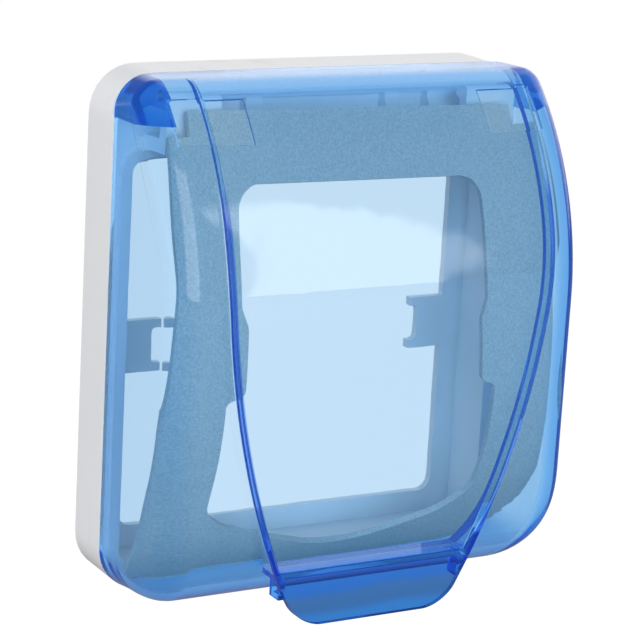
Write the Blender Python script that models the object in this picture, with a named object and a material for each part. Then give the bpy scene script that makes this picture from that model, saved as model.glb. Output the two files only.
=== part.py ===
"""Waterproof socket box: a white wall frame, a hinged translucent lid and a loose gasket sheet.

Metres, +Z up, the wall is the plane y = 0 and the front faces -Y. The origin is the middle of the
wall box, halfway between the two screws that hold the frame.
"""
import math

import bmesh
import bpy
from mathutils import Matrix, Vector

MM = 0.001

# Seat for the square wall plate, and the rim around it
RECESS_HALF_W = 44.0
RECESS_TOP = 43.5
RECESS_BOTTOM = -45.5
RECESS_R = 3.0
RIM_SIDE = 5.5
RIM_TOP = 17.75
RIM_BOTTOM = 5.25

# Outline shared by frame and lid
HALF_W = RECESS_HALF_W + RIM_SIDE
TOP_Z = RECESS_TOP + RIM_TOP
BOTTOM_Z = RECESS_BOTTOM - RIM_BOTTOM
CORNER_R = 10.0

# Frame
FRAME_DEPTH = 12.4
FLANGE = 1.8
LEDGE_SIDE = 5.1
LEDGE_TOP = 3.0
LEDGE_BOTTOM = 5.0
OPEN_R = 3.0
LIP_WIDTH = 2.4
LIP_HEIGHT = 1.2
SCREW_HALF_PITCH = 30.15
EAR_HALF_H = 5.8
EAR_TIP_X = SCREW_HALF_PITCH + 0.25
NOTCH_X = SCREW_HALF_PITCH + 2.35
NOTCH_HALF_H = 3.95

# Gap between neighbours
GAP = 0.3

# Lid shell
WALL = 2.1
LID_BACK = FRAME_DEPTH + GAP
LID_DEPTH = 30.6
LID_FRONT = LID_BACK + LID_DEPTH
DRAFT = 0.03
TOP_ARC_R = 62.8
TOP_STRIP = 8.94
TOP_ARC_DROP = math.sqrt(TOP_ARC_R ** 2 - (TOP_ARC_R - LID_DEPTH + TOP_STRIP) ** 2)
TOP_ARC_Z = TOP_Z - TOP_ARC_DROP
LOW_ARC_R = 26.0
EDGE_R = 6.0
INNER_EDGE_R = 5.5
BROW_CHAMFER = 2.2
BEYOND = LID_FRONT + 20.0

# Raised shield panel and its pull tab
PANEL_RAISE = 1.4
PANEL_BROW = 0.55
PANEL_SIDE = 10.45
PANEL_EDGE_WALL = 1.3
PANEL_HALF_W = HALF_W - PANEL_SIDE
PANEL_ARC_R = 242.0
PANEL_STRAIGHT = 16.45
PANEL_ARC_Z = TOP_Z - PANEL_STRAIGHT
TAB_RISE = 10.05
TAB_ROOT_Z = BOTTOM_Z + TAB_RISE
TAB_LENGTH = 10.6
TAB_BOTTOM_Z = TAB_ROOT_Z - TAB_LENGTH
TAB_CORNER_R = 9.0
TAB_CORNER_IN = 11.0
GUSSET_INSET = 2.44
GUSSET_THICK = 1.3
GUSSET_DEPTH = 3.4
GUSSET_DROP = 4.6

# Hinge
AXIS_FORWARD = 5.8
AXIS_DROP = 5.05
AXIS_Y = -LID_BACK - AXIS_FORWARD
AXIS_Z = TOP_Z - AXIS_DROP
PIN_R = 1.1
PIN_LENGTH = 3.5
BLOCK_WIDTH = 7.3
BLOCK_HEIGHT = 9.0
BLOCK_DEPTH = 14.4
BLOCK_INNER_X = HALF_W - BLOCK_WIDTH
BLOCK_LOW_Z = TOP_Z - BLOCK_HEIGHT
ARM_HEAD_R = 2.3
ARM_THICK = 2.75
ARM_WIDTH = 12.4
ARM_OUTER_X = BLOCK_INNER_X - GAP
ARM_INNER_X = ARM_OUTER_X - ARM_WIDTH
ARM_ROOT_LOW = RECESS_TOP + 1.9
ARM_ROOT_HIGH = ARM_ROOT_LOW + 2.9
RELIEF_DEPTH = 0.4
RELIEF_INNER_X = ARM_INNER_X + 0.2
RELIEF_OUTER_X = ARM_OUTER_X + 1.5
RELIEF_HEIGHT = 11.75
RELIEF_LOW_Z = TOP_Z - RELIEF_HEIGHT
POCKET_INNER_X = 18.8
POCKET_OUTER_X = 25.7
POCKET_MIDDLE_X = 14.9
POCKET_FLOOR = 8.2
POCKET_LOW = AXIS_Z - 5.2
POCKET_HIGH = AXIS_Z + 0.8

# Gasket sheet
SHEET = 1.4
GASKET_GAP = 1.5
GASKET_HALF_W = HALF_W - WALL - GASKET_GAP
GASKET_TOP = AXIS_Z - 2.0
GASKET_TOP_Y = AXIS_Y - ARM_HEAD_R - 0.9
GASKET_BELLY = (-LID_FRONT + 8.5, -2.0)
GASKET_LOW = BOTTOM_Z + WALL + GASKET_GAP + 0.25
GASKET_CORNER_R = 7.0
GASKET_NOTCH_X = GASKET_HALF_W - 6.2
GASKET_NOTCH_Z = GASKET_TOP - 4.6
GASKET_RAIL = 12.7
WINDOW_TOP = 39.7
WINDOW_BOTTOM = GASKET_LOW + 3.9
WINDOW_CORNER_R = 5.0
WINDOW_ARC_R = 49.0
WINDOW_ARC_Z = WINDOW_BOTTOM + WINDOW_ARC_R
WINDOW_LOW_W = GASKET_HALF_W - GASKET_RAIL
WINDOW_TOP_W = WINDOW_LOW_W - 3.8
WINDOW_EAR_W = WINDOW_LOW_W - 5.1
WINDOW_EAR_LOW = -3.2
WINDOW_EAR_HIGH = 14.4

# Smoothness of the round parts
ARC_STEPS = 14
EDGE_SEGMENTS = 4

scene = bpy.context.scene


def collection(name):
    made = bpy.data.collections.new(name)
    scene.collection.children.link(made)
    return made


def material(name, colour, roughness, alpha=1.0, transmission=0.0):
    made = bpy.data.materials.new(name)
    made.use_nodes = True
    shader = made.node_tree.nodes["Principled BSDF"]
    shader.inputs["Base Color"].default_value = (*colour, 1.0)
    shader.inputs["Roughness"].default_value = roughness
    shader.inputs["Alpha"].default_value = alpha
    shader.inputs["Transmission Weight"].default_value = transmission
    return made


def arc(cx, cy, radius, start, end, steps):
    """Points on an arc in degrees, both ends included."""
    turn = [math.radians(start + (end - start) * i / steps) for i in range(steps + 1)]
    return [(cx + radius * math.cos(a), cy + radius * math.sin(a)) for a in turn]


def rounded(x0, x1, z0, z1, radius, steps=5):
    """Outline of a rectangle with rounded corners."""
    outline = arc(x1 - radius, z0 + radius, radius, -90, 0, steps)
    outline += arc(x1 - radius, z1 - radius, radius, 0, 90, steps)
    outline += arc(x0 + radius, z1 - radius, radius, 90, 180, steps)
    outline += arc(x0 + radius, z0 + radius, radius, 180, 270, steps)
    return outline


def prism(name, outline, low, high, along):
    """A flat outline pulled into a solid along X or Y; sizes in millimetres."""
    shell = bmesh.new()
    if along == "X":
        corners = [shell.verts.new((low, a, b)) for a, b in outline]
        travel = Vector((high - low, 0, 0))
    else:
        corners = [shell.verts.new((a, low, b)) for a, b in outline]
        travel = Vector((0, high - low, 0))
    face = shell.faces.new(corners)
    pulled = bmesh.ops.extrude_face_region(shell, geom=[face])
    moved = [v for v in pulled["geom"] if isinstance(v, bmesh.types.BMVert)]
    bmesh.ops.translate(shell, vec=travel, verts=moved)
    bmesh.ops.recalc_face_normals(shell, faces=shell.faces)
    return finish(name, shell)


def finish(name, shell):
    """Turn a millimetre bmesh into an object in metres."""
    bmesh.ops.scale(shell, vec=(MM, MM, MM), verts=shell.verts)
    mesh = bpy.data.meshes.new(name)
    shell.to_mesh(mesh)
    shell.free()
    made = bpy.data.objects.new(name, mesh)
    cutters.objects.link(made)
    made.hide_render = True
    made.display_type = "WIRE"
    return made


def box(name, x, y, z):
    return prism(name, [(x[0], z[0]), (x[1], z[0]), (x[1], z[1]), (x[0], z[1])], y[0], y[1], "Y")


def rod(name, y, z, radius, x0, x1, steps=20):
    return prism(name, arc(y, z, radius, 0, 360 - 360 / steps, steps - 1), x0, x1, "X")


def combine(target, tool, operation):
    """Add an exact Boolean and keep it on the part."""
    step = target.modifiers.new(tool.name, "BOOLEAN")
    step.operation = operation
    step.solver = "EXACT"
    step.object = tool


def make_part(source, name, paint):
    """Move a built solid into the part collection under its own name."""
    cutters.objects.unlink(source)
    part.objects.link(source)
    source.name = name
    source.data.name = name
    source.hide_render = False
    source.display_type = "TEXTURED"
    source.data.materials.append(paint)
    return source


def base_frame():
    """White frame: rounded outline, deep seat for the wall plate, thin flange with screw ears."""
    body = prism("frame_block", rounded(-HALF_W, HALF_W, BOTTOM_Z, TOP_Z, CORNER_R, 8),
                 -FRAME_DEPTH, 0, "Y")
    lip_outline = rounded(-RECESS_HALF_W - LIP_WIDTH, RECESS_HALF_W + LIP_WIDTH,
                          RECESS_BOTTOM - LIP_WIDTH, RECESS_TOP + LIP_WIDTH, RECESS_R + LIP_WIDTH)
    lip = prism("frame_lip", lip_outline, -FRAME_DEPTH - LIP_HEIGHT, -FRAME_DEPTH + 2, "Y")
    combine(body, lip, "UNION")

    sweep = math.hypot(LID_BACK + AXIS_Y, TOP_Z - AXIS_Z) + GAP
    trough = rod("hinge_trough", AXIS_Y, AXIS_Z, sweep, -HALF_W - 5, HALF_W + 5, 64)
    combine(body, trough, "DIFFERENCE")
    for x0, x1 in ((-POCKET_MIDDLE_X, POCKET_MIDDLE_X), (POCKET_INNER_X, POCKET_OUTER_X),
                   (-POCKET_OUTER_X, -POCKET_INNER_X)):
        pocket = box("hinge_pocket", (x0, x1), (-FRAME_DEPTH - 1, -POCKET_FLOOR),
                     (POCKET_LOW, POCKET_HIGH))
        combine(body, pocket, "DIFFERENCE")

    recess = prism("frame_seat", rounded(-RECESS_HALF_W, RECESS_HALF_W, RECESS_BOTTOM, RECESS_TOP,
                                         RECESS_R), -FRAME_DEPTH - 5, -FLANGE, "Y")
    combine(body, recess, "DIFFERENCE")
    combine(body, prism("frame_opening", opening_outline(), -FRAME_DEPTH, 5, "Y"), "DIFFERENCE")

    for side in (-1, 1):
        combine(body, hinge_arm(side), "UNION")
    for side in (-1, 1):
        ends = sorted((side * (BLOCK_INNER_X - PIN_LENGTH - GAP), side * (ARM_OUTER_X + 1)))
        combine(body, rod("pin_socket", AXIS_Y, AXIS_Z, PIN_R + GAP, ends[0], ends[1]), "DIFFERENCE")
    return body


def opening_outline():
    """The big opening with one forked screw ear standing in from each side."""
    edge = RECESS_HALF_W - LEDGE_SIDE
    right = arc(edge - OPEN_R, RECESS_BOTTOM + LEDGE_BOTTOM + OPEN_R, OPEN_R, -90, 0, 4)
    right += [(edge, -EAR_HALF_H), (EAR_TIP_X, -EAR_HALF_H), (EAR_TIP_X, -NOTCH_HALF_H)]
    right += arc(NOTCH_X - 1.2, -NOTCH_HALF_H + 1.2, 1.2, -90, 0, 3)
    right += arc(NOTCH_X - 1.2, NOTCH_HALF_H - 1.2, 1.2, 0, 90, 3)
    right += [(EAR_TIP_X, NOTCH_HALF_H), (EAR_TIP_X, EAR_HALF_H), (edge, EAR_HALF_H)]
    right += arc(edge - OPEN_R, RECESS_TOP - LEDGE_TOP - OPEN_R, OPEN_R, 0, 90, 4)
    return right + [(-x, z) for x, z in reversed(right)]


def hinge_arm(side):
    """Hooked arm that reaches out under the lid's swing and carries the pin socket."""
    front = AXIS_Y - ARM_HEAD_R
    outline = [(-FRAME_DEPTH + 2, ARM_ROOT_LOW), (front, ARM_ROOT_LOW)]
    outline += arc(AXIS_Y, AXIS_Z, ARM_HEAD_R, 180, 0, 8)
    outline += arc(AXIS_Y, AXIS_Z, ARM_HEAD_R, -30, -80, 3)
    outline += [(front + ARM_THICK, ARM_ROOT_HIGH), (-FRAME_DEPTH + 2, ARM_ROOT_HIGH)]
    ends = sorted((side * ARM_INNER_X, side * ARM_OUTER_X))
    return prism("hinge_arm", outline, ends[0], ends[1], "X")


def hood_profile(inset, back):
    """Side view of the hood in Y and Z, drawn in by the wall thickness when wanted."""
    top = TOP_Z - inset
    reach = TOP_ARC_R - inset
    centre_y = TOP_ARC_R - LID_FRONT
    start = math.degrees(math.asin((top - TOP_ARC_Z) / reach))
    low = LOW_ARC_R - inset
    outline = [(-back, top)]
    outline += arc(centre_y, TOP_ARC_Z, reach, 180 - start, 180, ARC_STEPS)
    outline += arc(LOW_ARC_R - LID_FRONT, BOTTOM_Z + LOW_ARC_R, low, 180, 270, ARC_STEPS - 4)
    outline.append((-back, BOTTOM_Z + inset))
    return outline


def hood_solid(name, inset, back):
    """Hood block with drafted sides and rounded edges; the inset one is the hollow."""
    half = HALF_W - inset
    shell = bmesh.new()
    outline = hood_profile(inset, back)
    rings = []
    for side in (-1, 1):
        rings.append([shell.verts.new((side * (half + DRAFT * (y + LID_BACK)), y, z))
                      for y, z in outline])
    count = len(outline)
    shell.faces.new(rings[0])
    shell.faces.new(rings[1])
    for i in range(count):
        j = (i + 1) % count
        shell.faces.new((rings[0][i], rings[0][j], rings[1][j], rings[1][i]))
    bmesh.ops.recalc_face_normals(shell, faces=shell.faces)
    brow = [e for e in shell.edges if {e.verts[0], e.verts[1]} == {rings[0][1], rings[1][1]}]
    bmesh.ops.bevel(shell, geom=brow, offset=BROW_CHAMFER, segments=3, profile=0.5,
                    affect="EDGES", material=-1)
    sides = [e for e in shell.edges
             if abs(abs(e.verts[0].co.x) - abs(e.verts[1].co.x)) < 1
             and e.verts[0].co.x * e.verts[1].co.x > 0
             and min(e.verts[0].co.y, e.verts[1].co.y) < -back - 0.01]
    bmesh.ops.bevel(shell, geom=sides, offset=INNER_EDGE_R if inset else EDGE_R,
                    segments=EDGE_SEGMENTS, profile=0.5, affect="EDGES", material=-1)
    block = finish(name, shell)
    spare = 0.02
    corners = prism(name + "_corners",
                    rounded(-half - spare, half + spare, BOTTOM_Z + inset - spare,
                            TOP_Z - inset + spare, CORNER_R - inset, 6), -BEYOND, 0, "Y")
    combine(block, corners, "INTERSECT")
    return block


def shield_outline(inset, low):
    """Front view of the raised panel: straight at the top, arcs running in towards the tab."""
    right = []
    for i in range(13):
        z = low + (PANEL_ARC_Z - low) * i / 12
        drop = PANEL_ARC_R - math.sqrt(PANEL_ARC_R ** 2 - (PANEL_ARC_Z - z) ** 2)
        right.append((PANEL_HALF_W - inset - drop, z))
    right.append((PANEL_HALF_W - inset, TOP_Z + 5))
    return right


def mirrored(right):
    return right + [(-x, z) for x, z in reversed(right)]


def raised_panel():
    """Shield panel with the pull tab hanging from its front sheet."""
    front = LID_FRONT + PANEL_RAISE
    reach = TOP_ARC_R + PANEL_RAISE
    top = TOP_Z - 0.05
    start = math.degrees(math.asin((top - BROW_CHAMFER - TOP_ARC_Z) / reach))
    brow_y = -LID_BACK - TOP_STRIP
    root_y = brow_y + BROW_CHAMFER / 2
    side = [(root_y, top), (brow_y - PANEL_BROW, top)]
    side += arc(TOP_ARC_R - LID_FRONT, TOP_ARC_Z, reach, 180 - start, 180, ARC_STEPS)
    side += [(-front, TAB_BOTTOM_Z - 5), (-front + WALL, TAB_BOTTOM_Z - 5)]
    side += [(-front + WALL, TAB_ROOT_Z), (root_y, TAB_ROOT_Z)]
    slab = prism("panel_slab", side, -HALF_W, HALF_W, "X")
    right = shield_outline(0, TAB_ROOT_Z)
    root = right[0][0]
    tab = [(root - TAB_CORNER_IN, TAB_BOTTOM_Z)]
    tab += arc(root - TAB_CORNER_IN, TAB_BOTTOM_Z + TAB_CORNER_R, TAB_CORNER_R, -80, -20, 5)
    shape = prism("panel_shape", mirrored(tab + right), -BEYOND, -LID_BACK, "Y")
    combine(slab, shape, "INTERSECT")
    return slab


def panel_hollow():
    """Hollow behind the raised panel, one wall thickness inside it."""
    reach = TOP_ARC_R + PANEL_RAISE - WALL
    top = TOP_Z - WALL - 0.1
    start = math.degrees(math.asin((top - TOP_ARC_Z) / reach))
    low = TAB_ROOT_Z + WALL
    side = [(AXIS_Y, top)]
    side += arc(TOP_ARC_R - LID_FRONT, TOP_ARC_Z, reach, 180 - start, 180, ARC_STEPS)
    side += [(-LID_FRONT - PANEL_RAISE + WALL, low), (AXIS_Y, low)]
    slab = prism("panel_hollow", side, -HALF_W, HALF_W, "X")
    shape = prism("panel_hollow_shape", mirrored(shield_outline(PANEL_EDGE_WALL, low - 3)),
                  -BEYOND, -LID_BACK, "Y")
    combine(slab, shape, "INTERSECT")
    return slab


def arm_relief(side):
    """Shallow relief inside each upper corner, which clears the frame's hinge arm."""
    reliefs = []
    ridge = PANEL_HALF_W - PANEL_EDGE_WALL
    for name, raised, x0, x1 in (("panel_relief", PANEL_RAISE, RELIEF_INNER_X, ridge),
                                 ("corner_relief", 0, ridge - GAP, RELIEF_OUTER_X)):
        reach = TOP_ARC_R + raised - WALL + RELIEF_DEPTH
        top = TOP_Z - WALL - BROW_CHAMFER
        start = math.degrees(math.asin((top - TOP_ARC_Z) / reach))
        end = math.degrees(math.asin((RELIEF_LOW_Z - TOP_ARC_Z) / reach))
        outline = arc(TOP_ARC_R - LID_FRONT, TOP_ARC_Z, reach, 180 - start, 180 - end, 5)
        outline += arc(TOP_ARC_R - LID_FRONT, TOP_ARC_Z, reach - 3 * RELIEF_DEPTH, 180 - end,
                       180 - start, 5)
        ends = sorted((side * x0, side * x1))
        reliefs.append(prism(name, outline, ends[0], ends[1], "X"))
    return reliefs


def hood():
    """Translucent lid with hinge ends, panel, tab and reliefs in one moulding."""
    body = hood_solid("hood_block", 0, LID_BACK)
    combine(body, raised_panel(), "UNION")
    hollow = hood_solid("hood_hollow", WALL, LID_BACK - 5)
    for side in (-1, 1):
        ends = sorted((side * BLOCK_INNER_X, side * (HALF_W + 5)))
        keep = box("hinge_end", ends, (-LID_BACK - BLOCK_DEPTH, 0), (BLOCK_LOW_Z, TOP_Z + 5))
        combine(hollow, keep, "DIFFERENCE")
    combine(body, hollow, "DIFFERENCE")
    combine(body, panel_hollow(), "DIFFERENCE")
    gusset_x = shield_outline(0, TAB_ROOT_Z)[0][0] - GUSSET_INSET
    for side in (-1, 1):
        for relief in arm_relief(side):
            combine(body, relief, "DIFFERENCE")
        ends = sorted((side * (BLOCK_INNER_X - PIN_LENGTH), side * (BLOCK_INNER_X + 2)))
        combine(body, rod("hinge_pin", AXIS_Y, AXIS_Z, PIN_R, ends[0], ends[1]), "UNION")
        web = sorted((side * gusset_x, side * (gusset_x + GUSSET_THICK)))
        back = -LID_FRONT - PANEL_RAISE + WALL
        gusset = box("tab_gusset", web, (back - 0.5, back + GUSSET_DEPTH),
                     (TAB_ROOT_Z - GUSSET_DROP, TAB_ROOT_Z + 0.5))
        combine(body, gusset, "UNION")
    return body


def bezier(p0, p1, p2, p3, steps):
    """Points on one Bezier stretch, its start left out."""
    points = []
    for i in range(1, steps + 1):
        t = i / steps
        s = 1 - t
        points.append(tuple(s ** 3 * a + 3 * s * s * t * b + 3 * s * t * t * c + t ** 3 * d
                            for a, b, c, d in zip(p0, p1, p2, p3)))
    return points


def sheet_line():
    """Side view of the gasket's rear face, bowed out from the frame."""
    top = (GASKET_TOP_Y, GASKET_TOP)
    belly_y, belly_z = GASKET_BELLY
    foot = (-FRAME_DEPTH - LIP_HEIGHT - GAP, GASKET_LOW)
    line = [top]
    line += bezier(top, (GASKET_TOP_Y - 5.3, GASKET_TOP - 13), (belly_y, belly_z + 18.5),
                   GASKET_BELLY, 9)
    line += bezier(GASKET_BELLY, (belly_y, belly_z - 22.7), (foot[0] - 7.1, GASKET_LOW + 4.7),
                   foot, 10)
    return line


def window_outline():
    """Large window of the sheet, narrowed beside each screw ear."""
    right = arc(0, WINDOW_ARC_Z, WINDOW_ARC_R, -90, -52, 7)
    right += arc(WINDOW_LOW_W - WINDOW_CORNER_R, WINDOW_ARC_Z - 33.0, WINDOW_CORNER_R, -35, 0, 3)
    right += [(WINDOW_LOW_W, WINDOW_EAR_LOW - 1.2), (WINDOW_EAR_W + 1.2, WINDOW_EAR_LOW),
              (WINDOW_EAR_W, WINDOW_EAR_LOW + 1.2), (WINDOW_EAR_W, WINDOW_EAR_HIGH - 4.2),
              (WINDOW_TOP_W, WINDOW_EAR_HIGH)]
    right += arc(WINDOW_TOP_W - WINDOW_CORNER_R, WINDOW_TOP - WINDOW_CORNER_R, WINDOW_CORNER_R,
                 0, 90, 4)
    return right[1:]


def gasket():
    """Loose sheet with rounded lower corners and cut upper corners."""
    line = sheet_line()
    other = []
    for i, (y, z) in enumerate(line):
        before = line[max(i - 1, 0)]
        after = line[min(i + 1, len(line) - 1)]
        run = Vector((after[0] - before[0], after[1] - before[1])).normalized()
        other.append((y + run.y * SHEET, z - run.x * SHEET))
    sheet = prism("gasket_sheet", line + list(reversed(other)), -GASKET_HALF_W, GASKET_HALF_W, "X")
    right = arc(GASKET_HALF_W - GASKET_CORNER_R, GASKET_LOW - 1.5 + GASKET_CORNER_R,
                GASKET_CORNER_R, -90, 0, 6)
    right += [(GASKET_HALF_W - 0.01, GASKET_NOTCH_Z), (GASKET_NOTCH_X, GASKET_NOTCH_Z)]
    right += [(GASKET_NOTCH_X, GASKET_TOP + 5)]
    combine(sheet, prism("gasket_edge", mirrored(right), -BEYOND, 0, "Y"), "INTERSECT")
    window = mirrored(window_outline())
    combine(sheet, prism("gasket_window", window, -BEYOND, 0, "Y"), "DIFFERENCE")
    return sheet


for leftover in list(bpy.data.objects):
    bpy.data.objects.remove(leftover, do_unlink=True)
part = collection("waterproof_socket_box")
cutters = collection("cutters")

white = material("white_plastic", (0.80, 0.81, 0.82), 0.35)
blue = material("blue_clear_plastic", (0.10, 0.32, 0.75), 0.08, alpha=0.4, transmission=0.8)
grey = material("grey_rubber", (0.58, 0.60, 0.59), 0.9)

frame = make_part(base_frame(), "base_frame", white)
seal = make_part(gasket(), "gasket", grey)
lid = make_part(hood(), "lid", blue)
axis = bpy.data.objects.new("lid_axis", None)
part.objects.link(axis)
axis.location = Vector((0, AXIS_Y, AXIS_Z)) * MM
lid.parent = axis
lid.matrix_parent_inverse = Matrix.Translation(-axis.location)
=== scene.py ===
"""Waterproof socket box on a white ground: white wall frame, loose foam gasket, clear blue lid."""
import math

import bmesh
import bpy
from mathutils import Matrix, Vector


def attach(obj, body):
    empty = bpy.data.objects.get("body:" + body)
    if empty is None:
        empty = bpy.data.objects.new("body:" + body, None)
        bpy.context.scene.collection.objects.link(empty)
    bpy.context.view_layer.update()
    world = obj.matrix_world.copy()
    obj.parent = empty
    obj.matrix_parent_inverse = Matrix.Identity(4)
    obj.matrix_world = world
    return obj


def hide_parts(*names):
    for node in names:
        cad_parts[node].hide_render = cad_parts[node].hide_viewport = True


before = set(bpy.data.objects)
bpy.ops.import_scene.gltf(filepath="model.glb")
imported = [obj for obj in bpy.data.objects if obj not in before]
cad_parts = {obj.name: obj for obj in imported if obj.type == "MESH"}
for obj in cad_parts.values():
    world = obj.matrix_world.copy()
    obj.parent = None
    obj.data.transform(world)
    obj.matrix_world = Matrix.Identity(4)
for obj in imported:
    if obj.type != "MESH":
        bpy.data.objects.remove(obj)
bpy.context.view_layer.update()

MM = 0.001


# The white wall frame. One moulding in glossy white ABS: a deep rounded rim, a seat for the square
# wall plate, a thin flange with two forked screw ears, and the hinge trough with its two arms.
# The moulded shape is kept, and its sharp arrises get the small radius that a mould leaves.


class Value:
    """A number socket that Python's operators can add up, multiply and compare."""

    def __init__(self, paint, socket):
        self.paint = paint
        self.socket = socket

    def __add__(self, other):
        return self.paint.maths("ADD", self, other)

    def __radd__(self, other):
        return self.paint.maths("ADD", other, self)

    def __sub__(self, other):
        return self.paint.maths("SUBTRACT", self, other)

    def __rsub__(self, other):
        return self.paint.maths("SUBTRACT", other, self)

    def __mul__(self, other):
        return self.paint.maths("MULTIPLY", self, other)


class Paint:
    """One material or sky, with one method that adds any node and sets or links its sockets."""

    def __init__(self, name, sky=False):
        self.material = (bpy.data.worlds if sky else bpy.data.materials).new(name)
        self.material.use_nodes = True
        self.tree = self.material.node_tree
        self.tree.nodes.clear()
        self.out = self.node("ShaderNodeOutputWorld" if sky else "ShaderNodeOutputMaterial")
        self.place = self.node("ShaderNodeTexCoord").outputs["Generated" if sky else "Object"]

    def maths(self, operation, first, second=0.0):
        made = self.node("ShaderNodeMath", {"operation": operation}, {0: first, 1: second})
        return Value(self, made.outputs[0])

    def node(self, kind, settings=None, sockets=None):
        made = self.tree.nodes.new(kind)
        for name, value in (settings or {}).items():
            setattr(made, name, value)
        for name, value in (sockets or {}).items():
            value = value.socket if isinstance(value, Value) else value
            if isinstance(value, bpy.types.NodeSocket):
                self.tree.links.new(value, made.inputs[name])
            else:
                made.inputs[name].default_value = value
        return made

    def link(self, source, name):
        self.tree.links.new(source, self.out.inputs[name])

    def noise(self, scale, detail=3.0, stretch=(1, 1, 1)):
        spread = self.node("ShaderNodeMapping", None, {"Vector": self.place, "Scale": stretch})
        return Value(self, self.node("ShaderNodeTexNoise", None,
                                     {"Vector": spread.outputs[0], "Scale": scale,
                                      "Detail": detail}).outputs[0])

    def blend(self, mask, first, second):
        mix = self.node("ShaderNodeMix", {"data_type": "RGBA"},
                        {"Factor": mask, 6: first, 7: second})
        return mix.outputs[2]

    def bump(self, height, depth, strength=1.0):
        return self.node("ShaderNodeBump", None, {"Height": height, "Distance": depth,
                                                  "Strength": strength}).outputs[0]

    def band(self, value, low, high):
        """0 below low, 1 above high, smooth between."""
        return Value(self, self.node("ShaderNodeMapRange", {"interpolation_type": "SMOOTHSTEP"},
                                     {"Value": value, "From Min": low, "From Max": high})
                     .outputs[0])


def new_piece(name, shell):
    """Put a finished bmesh, in metres, into an object of its own at the origin."""
    mesh = bpy.data.meshes.new(name)
    shell.to_mesh(mesh)
    shell.free()
    made = bpy.data.objects.new(name, mesh)
    bpy.context.scene.collection.objects.link(made)
    return made


def even_shading(piece, degrees):
    """Smooth the round faces, keep flat faces flat and edges past an angle sharp."""
    piece.data.shade_smooth()
    piece.data.set_sharp_from_angle(angle=math.radians(degrees))
    even = piece.modifiers.new("even_shading", "WEIGHTED_NORMAL")
    even.keep_sharp = True


def settle(piece):
    """Fix the piece's modifiers into its mesh."""
    bpy.context.view_layer.update()
    graph = bpy.context.evaluated_depsgraph_get()
    made = bpy.data.meshes.new_from_object(piece.evaluated_get(graph))
    piece.modifiers.clear()
    piece.data = made


ARRIS = 0.35 * MM

shell = bmesh.new()
shell.from_mesh(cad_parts["base_frame"].data)
bmesh.ops.remove_doubles(shell, verts=shell.verts, dist=0.002 * MM)
bmesh.ops.dissolve_limit(shell, angle_limit=math.radians(0.6), verts=shell.verts,
                         edges=shell.edges)
moulded = new_piece("moulded_frame", shell)
soften = moulded.modifiers.new("mould_radius", "BEVEL")
soften.width = ARRIS
soften.segments = 2
soften.limit_method = "ANGLE"
soften.angle_limit = math.radians(40)
settle(moulded)
even_shading(moulded, 35)

white = Paint("white_abs")
mottle = white.noise(42, 4)
scuff = white.band(white.noise(160, 6, (1, 1, 0.25)), 0.60, 0.72)
grain = white.noise(2600, 2)
tone = white.blend(mottle, (0.780, 0.800, 0.830, 1), (0.835, 0.848, 0.868, 1))
tone = white.blend(scuff * 0.25, tone, (0.70, 0.71, 0.73, 1))
gloss = 0.30 + scuff * 0.16 + mottle * 0.06
skin = white.node("ShaderNodeBsdfPrincipled", None, {
    "Base Color": tone, "Roughness": gloss, "IOR": 1.5,
    "Normal": white.bump(grain, 0.012 * MM, 0.5)})
white.link(skin.outputs[0], "Surface")
moulded.data.materials.clear()
moulded.data.materials.append(white.material)
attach(moulded, "base")
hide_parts("base_frame")


# The gasket. A loose sheet of light grey foam rubber, 1.4 mm thick, die-cut with a large window. It
# stands on the frame's lip, leans on the frame's arms, and bows out between them under the lid.

SHEET = 1.4
SHEET_LEAN = 0.065
SHEET_TOP = 54.2
SHEET_LOW = -48.4
SHEET_OUTLINE = [(-45.0, SHEET_LOW, 7), (46.0, SHEET_LOW + 2.0, 15), (46.3, -8, 40), (44.2, 22, 40),
                 (44.2, 49.0), (38.5, 49.0), (38.5, 53.0), (-38.5, SHEET_TOP), (-38.5, 49.4),
                 (-43.2, 49.4), (-42.2, 20, 30), (-45.0, -8, 40)]
WINDOW_OUTLINE = [(4, -43.6, 30), (26.4, -35.4, 12), (31.2, -29.6, 5), (30.8, -4.4, 1.5),
                  (27.4, -3.0, 1.5), (26.9, 10.2, 4), (28.4, 14.4, 4), (28.4, 39.4, 5),
                  (-28.4, 39.7, 5), (-28.8, 15.4, 4), (-27.4, 11.4, 4), (-28.0, -2.4, 1.5),
                  (-32.2, -4.0, 1.5), (-32.6, -29.6, 5), (-27.0, -34.0, 12)]
BOW_STRETCHES = (((-21.9, 54.2), (-27.2, 41.2), (-34.8, 16.5), (-34.8, -2.0)),
                 ((-34.8, -2.0), (-34.8, -24.7), (-21.0, -42.2), (-13.9, -46.9)))
TOP_HOLD = (53, 26)
FOOT_HOLD = (-46, 24)
CUT_EDGE = 0.18


def filled_outline(shell, corners):
    """Fill a ring of corners, each (across, up) or (across, up, corner radius), in millimetres."""
    verts = [shell.verts.new((across * MM, 0, up * MM)) for across, up, *_ in corners]
    shell.faces.new(verts)
    for vert, corner in zip(verts, corners):
        if len(corner) > 2:
            ahead = [e.other_vert(vert).co - vert.co for e in vert.link_edges]
            reach = corner[2] * MM / math.tan(ahead[0].angle(ahead[1]) / 2)
            bmesh.ops.bevel(shell, geom=[vert], offset=reach, offset_type="OFFSET",
                            segments=max(4, round(corner[2] * 2)), profile=0.5,
                            affect="VERTICES", material=-1)


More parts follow.
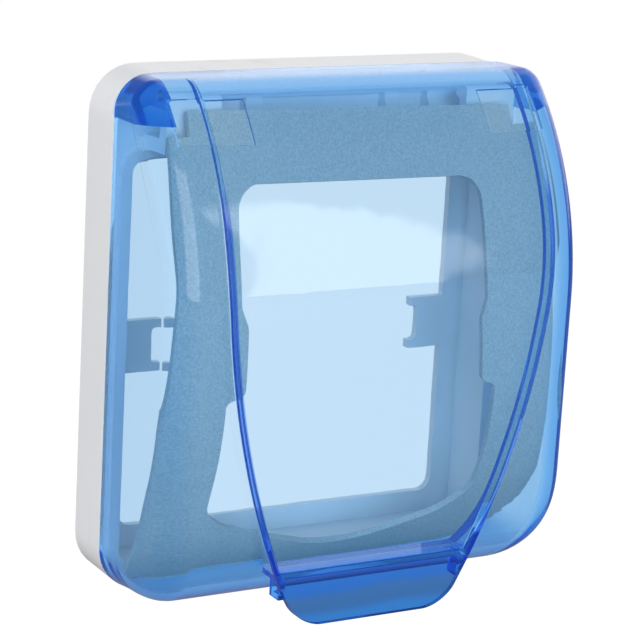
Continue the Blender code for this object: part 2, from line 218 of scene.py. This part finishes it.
def pulled(shell, across, low, high):
    """Pull the filled outline into a solid from low to high along X or Y, in millimetres."""
    way = Vector((1, 0, 0)) if across == "X" else Vector((0, 1, 0))
    bmesh.ops.translate(shell, verts=shell.verts, vec=way * low * MM)
    grown = bmesh.ops.extrude_face_region(shell, geom=shell.faces[:])
    ends = [v for v in grown["geom"] if isinstance(v, bmesh.types.BMVert)]
    bmesh.ops.translate(shell, verts=ends, vec=way * (high - low) * MM)
    bmesh.ops.recalc_face_normals(shell, faces=shell.faces)


def join(piece, other, operation):
    """Cut or join another solid into the piece, and take the other away."""
    step = piece.modifiers.new(operation.lower(), "BOOLEAN")
    step.operation = operation
    step.solver = "MANIFOLD"
    step.object = other
    settle(piece)
    bpy.data.objects.remove(other, do_unlink=True)


def cleaned(piece):
    """Take out the slivers and the spare corners that Booleans leave, which break the shading."""
    shell = bmesh.new()
    shell.from_mesh(piece.data)
    bmesh.ops.remove_doubles(shell, verts=shell.verts, dist=0.003 * MM)
    bmesh.ops.dissolve_degenerate(shell, dist=0.004 * MM, edges=shell.edges)
    bmesh.ops.dissolve_verts(shell, verts=[v for v in shell.verts if len(v.link_edges) == 2])
    shell.to_mesh(piece.data)
    shell.free()


def bowed(z):
    """Depth of the sheet's rear face at a height in millimetres, from its two Bezier stretches."""
    a, b, c, d = BOW_STRETCHES[0 if z > BOW_STRETCHES[1][0][1] else 1]
    low, high = 0.0, 1.0
    for _ in range(20):
        t = (low + high) / 2
        s = 1 - t
        y, up = (s ** 3 * a[i] + 3 * s * s * t * b[i] + 3 * s * t * t * c[i] + t ** 3 * d[i]
                 for i in (0, 1))
        low, high = (t, high) if up > z else (low, t)
    return y


def twist(x, z):
    """How far the loose sheet leans forward on its right side.

    It doesn't lean where the top and the foot are held, and each hold fades over its own height.
    """
    free = min(1.0, max(0.0, (TOP_HOLD[0] - z) / TOP_HOLD[1]))
    free *= min(1.0, max(0.0, (z - FOOT_HOLD[0]) / FOOT_HOLD[1]))
    return SHEET_LEAN * x * math.sin(free * math.pi / 2) ** 2


shell = bmesh.new()
filled_outline(shell, SHEET_OUTLINE)
pulled(shell, "Y", -1, 1)
sheet = new_piece("foam_gasket", shell)
shell = bmesh.new()
filled_outline(shell, WINDOW_OUTLINE)
pulled(shell, "Y", -2, 2)
join(sheet, new_piece("window", shell), "DIFFERENCE")
shell = bmesh.new()
shell.from_mesh(sheet.data)
rear = [f for f in shell.faces if f.normal.y < 0.9]
bmesh.ops.delete(shell, geom=rear, context="FACES")
for level in range(math.ceil(SHEET_LOW) + 1, math.floor(SHEET_TOP)):
    bmesh.ops.bisect_plane(shell, geom=shell.verts[:] + shell.edges[:] + shell.faces[:],
                           dist=0.01 * MM, plane_co=(0, 0, level * MM), plane_no=(0, 0, 1))
for v in shell.verts:
    v.co.y = (bowed(v.co.z / MM) - twist(v.co.x / MM, v.co.z / MM)) * MM
bmesh.ops.recalc_face_normals(shell, faces=shell.faces)
sheet.data.clear_geometry()
shell.to_mesh(sheet.data)
shell.free()
wall = sheet.modifiers.new("thickness", "SOLIDIFY")
wall.thickness = SHEET * MM
wall.offset = 1.0 if sheet.data.polygons[0].normal.y < 0 else -1.0
cut_edge = sheet.modifiers.new("cut_edge", "BEVEL")
cut_edge.width = CUT_EDGE * MM
cut_edge.segments = 2
cut_edge.limit_method = "ANGLE"
cut_edge.angle_limit = math.radians(50)
settle(sheet)
even_shading(sheet, 40)

foam = Paint("grey_foam_rubber")
cells = Value(foam, foam.node("ShaderNodeTexVoronoi", None,
                              {"Vector": foam.place, "Scale": 1700.0}).outputs["Distance"])
clouds = foam.noise(60, 4)
pits = 1 - foam.band(cells, 0.05, 0.32)
grit = foam.band(foam.noise(2100, 3), 0.34, 0.66)
tone = foam.blend(clouds, (0.45, 0.46, 0.44, 1), (0.52, 0.53, 0.51, 1))
tone = foam.blend(grit, tone, (0.60, 0.61, 0.58, 1))
tone = foam.blend(pits * 0.6, tone, (0.36, 0.37, 0.36, 1))
skin = foam.node("ShaderNodeBsdfPrincipled", None, {
    "Base Color": tone, "Roughness": 0.88, "Specular IOR Level": 0.3,
    "Normal": foam.bump(cells + grit, 0.10 * MM, 0.6)})
foam.link(skin.outputs[0], "Surface")
sheet.data.materials.clear()
sheet.data.materials.append(foam.material)
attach(sheet, "base")
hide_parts("gasket")


# The lid. One moulding in clear blue plastic, 2.1 mm thick: a hood with solid hinge ends, a raised
# shield panel whose edges run down in a V, and a pull tab with two small gussets. Its moulded pins
# hang it on the frame's arms, and two shallow reliefs inside its upper corners clear them.

WALL = 2.1
HALF_W = 49.5
TOP = 61.25
BOTTOM = -50.75
BACK = 12.7
FRONT = 43.3
DRAFT = 0.03
TOP_ARC_R = 62.8
TOP_ARC_Z = 13.8
LOW_ARC_R = 26.0
EDGE_R = 6.0
INNER_EDGE_R = 5.5
ARC_STEPS = 48
BROW_STEPS = 10
EDGE_STEPS = 14
BROW_R = 5.7
INNER_BROW_R = 8.5
TOP_CORNER_R = 7.6
CORNER_R = 10.0
LOW_CORNER_R = 11.5
LOW_CORNER_FADE = 75
REAR_STEP = 4.6
BEYOND = 5


def spun(shell, start, centre, degrees, steps):
    """Spin one vertex into an arc and give back its far end; sizes in millimetres."""
    turned = bmesh.ops.spin(shell, geom=[start], cent=Vector(centre) * MM, axis=(1, 0, 0),
                            dvec=(0, 0, 0), angle=math.radians(degrees), steps=steps,
                            use_duplicate=False)
    return [v for v in turned["geom_last"] if isinstance(v, bmesh.types.BMVert)][0]


def closed(shell, ends):
    """Bridge the gaps between pairs of vertices and fill the ring that they close."""
    for a, b in ends:
        if shell.edges.get((a, b)) is None:
            shell.edges.new((a, b))
    bmesh.ops.contextual_create(shell, geom=shell.edges[:])


def front_arc(shell, reach, top, radius):
    """A rounded top corner and the long front arc below it; gives back both ends."""
    centre = (0, TOP_ARC_R - FRONT, TOP_ARC_Z)
    rise = math.asin((top - radius - TOP_ARC_Z) / (reach - radius))
    middle = (0, centre[1] - (reach - radius) * math.cos(rise), top - radius)
    brow = shell.verts.new((0, middle[1] * MM, top * MM))
    below = spun(shell, brow, middle, 90 - math.degrees(rise), BROW_STEPS)
    return brow, spun(shell, below, centre, math.degrees(rise), ARC_STEPS)


def side_view(shell, inset, back):
    """The hood's side view, smaller by the inset: strip, brow, long top arc, front and low arc."""
    brow_r = INNER_BROW_R if inset else BROW_R
    brow, front = front_arc(shell, TOP_ARC_R - inset, TOP - inset, brow_r)
    low = shell.verts.new((0, (inset - FRONT) * MM, (BOTTOM + LOW_ARC_R) * MM))
    foot = spun(shell, low, (0, LOW_ARC_R - FRONT, BOTTOM + LOW_ARC_R), 90, ARC_STEPS // 2)
    rear_low = shell.verts.new((0, -back * MM, (BOTTOM + inset) * MM))
    rear_top = shell.verts.new((0, -back * MM, (TOP - inset) * MM))
    closed(shell, [(front, low), (foot, rear_low), (rear_low, rear_top), (rear_top, brow)])


def hood(name, inset, back):
    """The hood as a full solid: drafted, and rounder at its rear corners and along its low arc."""
    half = HALF_W - inset
    top = TOP - inset
    reach = LOW_ARC_R - inset
    edge_r = INNER_EDGE_R if inset else EDGE_R
    shell = bmesh.new()
    side_view(shell, inset, back)
    pulled(shell, "X", -half, half)
    sides = [e for e in shell.edges
             if e.verts[0].co.x * e.verts[1].co.x > 0
             and min(v.co.y for v in e.verts) < (-back - 0.01) * MM]
    bmesh.ops.bevel(shell, geom=sides, offset=edge_r * MM, offset_type="OFFSET",
                    segments=EDGE_STEPS, profile=0.5, affect="EDGES", material=-1)
    for v in shell.verts:
        x, y, z = v.co / MM
        grow = 1.0
        on_edge = abs(x) > half - edge_r - 0.01
        arm = Vector((min(0.0, y - LOW_ARC_R + FRONT), z - BOTTOM - LOW_ARC_R))
        if on_edge and arm.y < 0 and arm.length > reach - edge_r - 0.01:
            fade = max(0.0, 1 - math.atan2(-arm.x, -arm.y) / math.radians(LOW_CORNER_FADE))
            rear = min(1.0, max(0.0, (-y - BACK - 0.2) / REAR_STEP))
            radius = CORNER_R + (LOW_CORNER_R - CORNER_R) * rear - inset
            grow = 1 + (radius / edge_r - 1) * fade * fade * (3 - 2 * fade)
            moved = 1 - (reach - (reach - arm.length) * grow) / arm.length
            y -= arm.x * moved
            z -= arm.y * moved
        elif on_edge and y > -back - 0.01 and z > top - edge_r - 0.01:
            grow = (TOP_CORNER_R - inset) / edge_r
            z = top - (top - z) * grow
        x = math.copysign(half - (half - abs(x)) * grow, x)
        v.co = Vector((x * (1 + DRAFT * (y + BACK) / half), y, z)) * MM
    return new_piece(name, shell)


PANEL_RAISE = 1.4
PANEL_SIDES = {-1: (37.45, 199.0, 32.6), 1: (40.57, 163.0, 32.3)}
PANEL_BROW_R = 7.5
PANEL_TOP = TOP - 0.05
PANEL_REAR = 20.0
PANEL_EDGE_WALL = 1.4
HOLLOW_BROW_R = 10.0
HOLLOW_TOP = TOP - WALL - 0.1
HOLLOW_REAR = 18.5
TAB_ROOT = -40.7
TAB_BOTTOM = -51.3
TAB_CORNER = (17.7, 9)
RIDGE_R = 0.4
INNER_RIDGE_R = 0.7


def shield(inset, low):
    """The panel's front outline, drawn in by the inset: up the right side and down the left.

    A side is straight from the top down to a height, and an arc of its own radius below it.
    """
    outline = []
    for side, (half, radius, high) in PANEL_SIDES.items():
        edge = [(side * (half - inset), TOP + BEYOND)]
        for i in range(41):
            z = high + (low - high) * i / 40
            drop = radius - math.sqrt(radius ** 2 - (high - z) ** 2)
            edge.append((side * (half - inset - drop), z))
        outline = edge[::-side] + outline
    return outline


def panel_side(shell, raised, top, brow_r, others):
    """Side view of the panel's body: its front arc, closed through the other corners."""
    brow, front = front_arc(shell, TOP_ARC_R + raised, top, brow_r)
    ring = [front] + [shell.verts.new((0, y * MM, z * MM)) for y, z in others] + [brow]
    closed(shell, list(zip(ring, ring[1:])))


def raised_panel():
    """The shield panel and the tab that hangs from its front sheet, as one solid."""
    front = -FRONT - PANEL_RAISE
    shell = bmesh.new()
    low = TAB_BOTTOM - BEYOND
    panel_side(shell, PANEL_RAISE, PANEL_TOP, PANEL_BROW_R,
               [(front, low), (front + WALL, low), (front + WALL, TAB_ROOT),
                (-PANEL_REAR, TAB_ROOT), (-PANEL_REAR, PANEL_TOP)])
    pulled(shell, "X", -HALF_W, HALF_W)
    slab = new_piece("panel", shell)
    shell = bmesh.new()
    x, corner_r = TAB_CORNER
    filled_outline(shell, [(x, TAB_BOTTOM, corner_r)] + shield(0, TAB_ROOT)
                   + [(-x, TAB_BOTTOM, corner_r)])
    pulled(shell, "Y", -60, -BACK)
    join(slab, new_piece("shield", shell), "INTERSECT")
    ridge = slab.modifiers.new("ridge", "BEVEL")
    ridge.width = RIDGE_R * MM
    ridge.segments = 3
    ridge.limit_method = "ANGLE"
    ridge.angle_limit = math.radians(50)
    settle(slab)
    return slab


def panel_hollow():
    """The hollow behind the raised panel, one wall inside it."""
    low = TAB_ROOT + PANEL_EDGE_WALL
    shell = bmesh.new()
    panel_side(shell, PANEL_RAISE - WALL, HOLLOW_TOP, HOLLOW_BROW_R,
               [(-FRONT - PANEL_RAISE + WALL, low), (-HOLLOW_REAR, low),
                (-HOLLOW_REAR, HOLLOW_TOP)])
    pulled(shell, "X", -HALF_W, HALF_W)
    slab = new_piece("panel_hollow", shell)
    shell = bmesh.new()
    filled_outline(shell, shield(PANEL_EDGE_WALL, low - 3))
    pulled(shell, "Y", -60, -BACK)
    join(slab, new_piece("hollow_shield", shell), "INTERSECT")
    inner = slab.modifiers.new("inner_radius", "BEVEL")
    inner.width = INNER_RIDGE_R * MM
    inner.segments = 4
    inner.limit_method = "ANGLE"
    inner.angle_limit = math.radians(50)
    settle(slab)
    return slab


def block(name, x, y, z):
    """A plain box between three pairs of limits in millimetres."""
    shell = bmesh.new()
    filled_outline(shell, [(x[1], z[0]), (x[1], z[1]), (x[0], z[1]), (x[0], z[0])])
    pulled(shell, "Y", *y)
    return new_piece(name, shell)


PIN = (-18.5, 56.2)
PIN_R = 1.1
PIN_INNER = 38.7
END_INNER = 42.2
END_LOW = 52.25
END_FRONT = 27.1
RELIEF = 0.4
RELIEF_LOW = 48.9
RELIEF_TOP = 56.95
RELIEF_INNER = {-1: 27.2, 1: 28.9}
RELIEF_OUTER = 43.4
GUSSET = ((21.0, 22.3), (-43.1, -39.2), (TAB_ROOT - 4.6, TAB_ROOT + 0.5))


def arm_relief(side, raised, inner, outer):
    """A shallow relief inside an upper corner, bent like the wall, which clears the frame's arm."""
    centre = (0, TOP_ARC_R - FRONT, TOP_ARC_Z)
    reach = TOP_ARC_R + raised - WALL
    high = math.degrees(math.asin((RELIEF_TOP - TOP_ARC_Z) / reach))
    low = math.degrees(math.asin((RELIEF_LOW - TOP_ARC_Z) / reach))
    shell = bmesh.new()
    ends = []
    for radius in (reach + RELIEF, reach - 2 * RELIEF):
        start = shell.verts.new((0, (centre[1] - radius * math.cos(math.radians(high))) * MM,
                                 (TOP_ARC_Z + radius * math.sin(math.radians(high))) * MM))
        ends.append((start, spun(shell, start, centre, high - low, 16)))
    closed(shell, [(ends[0][0], ends[1][0]), (ends[0][1], ends[1][1])])
    pulled(shell, "X", *sorted((side * inner, side * outer)))
    return new_piece("arm_relief", shell)


lid = hood("clear_lid", 0, BACK)
join(lid, raised_panel(), "UNION")
hollow = hood("hood_hollow", WALL, BACK - BEYOND)
for side in (-1, 1):
    ends = sorted((side * END_INNER, side * (HALF_W + BEYOND)))
    join(hollow, block("hinge_end", ends, (-END_FRONT, 0), (END_LOW, TOP + BEYOND)), "DIFFERENCE")
join(lid, hollow, "DIFFERENCE")
join(lid, panel_hollow(), "DIFFERENCE")
for side in (-1, 1):
    ridge = PANEL_SIDES[side][0] - PANEL_EDGE_WALL
    join(lid, arm_relief(side, PANEL_RAISE, RELIEF_INNER[side], ridge), "DIFFERENCE")
    join(lid, arm_relief(side, 0, ridge - 0.3, RELIEF_OUTER), "DIFFERENCE")
    shell = bmesh.new()
    pin = sorted((side * PIN_INNER, side * (END_INNER + 2)))
    turn = (Matrix.Translation(Vector((sum(pin) / 2, *PIN)) * MM)
            @ Matrix.Rotation(math.radians(90), 4, "Y"))
    bmesh.ops.create_cone(shell, cap_ends=True, segments=32, radius1=PIN_R * MM,
                          radius2=PIN_R * MM, depth=(pin[1] - pin[0]) * MM, matrix=turn)
    join(lid, new_piece("hinge_pin", shell), "UNION")
    web = sorted(side * x for x in GUSSET[0])
    join(lid, block("gusset", web, GUSSET[1], GUSSET[2]), "UNION")
cleaned(lid)
even_shading(lid, 30)

clear = Paint("clear_blue_plastic")
ripple = clear.noise(55, 2)
place = clear.node("ShaderNodeSeparateXYZ", None, {0: clear.place})
across, ahead, up = (Value(clear, socket) for socket in place.outputs)
# Painted shade: the lid's colour darkens towards its bottom, for the shadowed ground seen through
# it there
low = 1 - clear.band(up, -48.5 * MM, -38 * MM)
tone = clear.blend(low, (1, 1, 1, 1), (0.20, 0.46, 0.71, 1))

# Painted shade on the tab, for the shadowed ground seen through it: streaked from deep blue at its
# root to a lighter lip
front = clear.band(ahead, -42.2 * MM, -42.8 * MM)
tab = clear.band(up, -40.0 * MM, -41.5 * MM) * front
level = up + (clear.noise(70, 3, (0.5, 1, 1.6)) - 0.5) * 3.5 * MM
middle = clear.band(level, -43.0 * MM, -45.5 * MM)
lip = clear.band(level, -47.5 * MM, -50.0 * MM)
tab_painted_shade = clear.blend(middle, (0.012, 0.14, 0.55, 1), (0.05, 0.15, 0.34, 1))
tab_painted_shade = clear.blend(lip, tab_painted_shade, (0.035, 0.22, 0.55, 1))
tone = clear.blend(tab, tone, tab_painted_shade)

# Painted shade in deep blue along the crease above the tab, and along the ledge behind it
painted_crease_shade = front * clear.band(up, -39.0 * MM, -40.2 * MM) * (1 - tab)
tone = clear.blend(painted_crease_shade * 0.8, tone, (0.12, 0.32, 0.95, 1))
painted_ledge_shade = clear.band(ahead, -38.8 * MM, -39.6 * MM) * clear.band(up, -38.6 * MM, -39.15 * MM)
painted_ledge_shade = painted_ledge_shade * (1 - tab) * (1 - front)
tone = clear.blend(painted_ledge_shade, tone, (0.10, 0.42, 1.0, 1))

# Painted shade in deep blue along the two ridges of the shield, on the raised part only, for light
# running through the step
sides = []
for side, (half, radius, high) in PANEL_SIDES.items():
    fall = clear.maths("POWER", clear.maths("MAXIMUM", high * MM - up), 2)
    edge = clear.maths("SQRT", (radius * MM) ** 2 - fall) + (half - radius) * MM
    sides.append(across * side - edge)
beside = clear.maths("MAXIMUM", *sides)
above = clear.maths("MAXIMUM", up - TOP_ARC_Z * MM)
reach = clear.maths("POWER", (TOP_ARC_R - FRONT) * MM - ahead, 2) + clear.maths("POWER", above, 2)
raised = clear.band(clear.maths("SQRT", reach), (TOP_ARC_R + 0.2) * MM, (TOP_ARC_R + 0.6) * MM)
painted_ridge_shade = clear.band(beside, -1.4 * MM, -1.1 * MM) * raised
painted_ridge_shade = painted_ridge_shade * (1 - clear.band(up, 36 * MM, 44 * MM)) * clear.band(up, -42 * MM, -40 * MM)
tone = clear.blend(painted_ridge_shade, tone, (0.08, 0.20, 0.90, 1))

skin = clear.node("ShaderNodeBsdfPrincipled", None, {
    "Base Color": tone, "Roughness": 0.02, "IOR": 1.5, "Transmission Weight": 1.0,
    "Normal": clear.bump(ripple, 0.25 * MM, 0.3)})
through = clear.node("ShaderNodeBsdfTransparent", None, {"Color": (1, 1, 1, 1)})
path = clear.node("ShaderNodeLightPath")
unseen = clear.maths("MAXIMUM", path.outputs["Is Shadow Ray"], path.outputs["Is Diffuse Ray"])
mixed = clear.node("ShaderNodeMixShader", None,
                   {0: unseen, 1: skin.outputs[0], 2: through.outputs[0]})
clear.link(mixed.outputs[0], "Surface")
tint = clear.node("ShaderNodeVolumeAbsorption", None, {"Color": (0.12, 0.56, 0.84, 1),
                                                       "Density": 300.0})
# Painted light: the plastic's body glows faintly blue, which stands in for light piped inside it
glow = clear.node("ShaderNodeEmission", None, {"Color": (0.03, 0.42, 1.0, 1), "Strength": 22.0})
body = clear.node("ShaderNodeAddShader", None, {0: tint.outputs[0], 1: glow.outputs[0]})
clear.link(body.outputs[0], "Volume")
lid.data.materials.clear()
lid.data.materials.append(clear.material)
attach(lid, "cover")
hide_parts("lid")


# The stage. A white floor well below the box, because the wall it hangs on isn't shown, and a sky
# that is white behind the box, with two soft boxes in front. Two lamps that nothing mirrors fill in
# the shade, and the camera stands to the left of the box and a little above it.

FLOOR_DROP = 0.13

shell = bmesh.new()
bmesh.ops.create_grid(shell, x_segments=1, y_segments=1, size=3.0)
floor = new_piece("white_floor", shell)
floor.data.transform(Matrix.Translation((0, 0, -FLOOR_DROP)))
paper = Paint("white_paper")
seen = paper.node("ShaderNodeLightPath")
shown = paper.maths("MAXIMUM", seen.outputs["Is Camera Ray"], seen.outputs["Is Transmission Ray"])
matt = paper.node("ShaderNodeBsdfDiffuse", None, {"Color": (0.30, 0.30, 0.30, 1)})
lit = paper.node("ShaderNodeEmission", None, {"Color": (1, 1, 1, 1), "Strength": shown * 0.81})
both = paper.node("ShaderNodeAddShader", None, {0: matt.outputs[0], 1: lit.outputs[0]})
paper.link(both.outputs[0], "Surface")
floor.data.materials.append(paper.material)

view = bpy.data.cameras.new("camera")
view.lens = 143.83
view.sensor_width = 36.0
camera = bpy.data.objects.new("camera", view)
bpy.context.scene.collection.objects.link(camera)
camera.location = (-0.26640, -0.48011, 0.14643)
turn = (Matrix.Rotation(math.radians(-29.809), 4, "Z")
        @ Matrix.Rotation(math.radians(90 - 14.65), 4, "X")
        @ Matrix.Rotation(math.radians(3.248), 4, "Z"))
camera.rotation_euler = turn.to_euler()
bpy.context.scene.camera = camera

studio = Paint("studio", sky=True)
aim = studio.node("ShaderNodeSeparateXYZ", None, {0: studio.place})
across, ahead, up = (Value(studio, socket) for socket in aim.outputs)
turn = studio.maths("ARCTAN2", across, 0 - ahead) * (180 / math.pi)
rise = studio.maths("ARCSINE", up) * (180 / math.pi)
behind = studio.band(ahead, -0.10, 0.15)
ceiling = studio.band(rise, 48, 62)
path = studio.node("ShaderNodeLightPath")
mirror = studio.maths("MULTIPLY", path.outputs["Is Reflection Ray"], path.outputs["Is Glossy Ray"])

# The broad soft box on the left, in degrees from straight ahead of the box
key = studio.band(turn, -42, -34) * (1 - studio.band(turn, 8, 14)) * studio.band(rise, -16, -12)

# The narrow soft box that the lid's front mirrors, with a slanted foot that softens outwards
strip = (studio.band(turn - rise * 0.08, 26.9, 27.5) * (1 - studio.band(turn, 32.3, 33.3))
         * (1 - studio.band(rise, 26, 31)))
past = turn - 30.0
foot = studio.maths("MAXIMUM", past * 7, past * 0.45) - 14.3
soft = studio.maths("MAXIMUM", past, 0.0) * 3 + 0.5
strip = strip * studio.band(studio.maths("DIVIDE", rise - foot, soft), -0.5, 0.5)
boxes = (key + strip) * (1 - studio.band(rise, 43, 48))

# White behind the box, darker where the lid's left side mirrors it, and dim between the soft boxes
shade = mirror * studio.band(rise, -9, 6) * (1 - studio.band(across, 0.1, 0.4))
bounce = Value(studio, path.outputs["Is Diffuse Ray"]) * 0.2
light = (0.28 + behind * (0.72 + mirror * 0.25 - shade * 1.05 - bounce)
         + (1 - behind) * (boxes * (1.0 + mirror * 1.7) + ceiling * 0.10))
light = studio.maths("MAXIMUM", light, path.outputs["Is Camera Ray"])
glow = studio.node("ShaderNodeBackground", None, {"Color": (1, 1, 1, 1), "Strength": light})
studio.link(glow.outputs[0], "Surface")
bpy.context.scene.world = studio.material

for name, spot, size, power in (("fill_front", (-0.25, -1.3, 0.10), 1.2, 18.0),
                                ("fill_left", (-1.3, -0.35, 0.0), 1.0, 10.0)):
    lamp = bpy.data.lights.new(name, "AREA")
    lamp.size = size
    lamp.energy = power
    holder = bpy.data.objects.new(name, lamp)
    bpy.context.scene.collection.objects.link(holder)
    holder.location = spot
    holder.rotation_euler = Vector(spot).to_track_quat("Z", "Y").to_euler()
    holder.visible_glossy = False
    holder.visible_transmission = False

bpy.context.scene.view_settings.view_transform = "Standard"
bpy.context.scene.cycles.max_bounces = 24
bpy.context.scene.cycles.transmission_bounces = 24
bpy.context.scene.cycles.glossy_bounces = 16
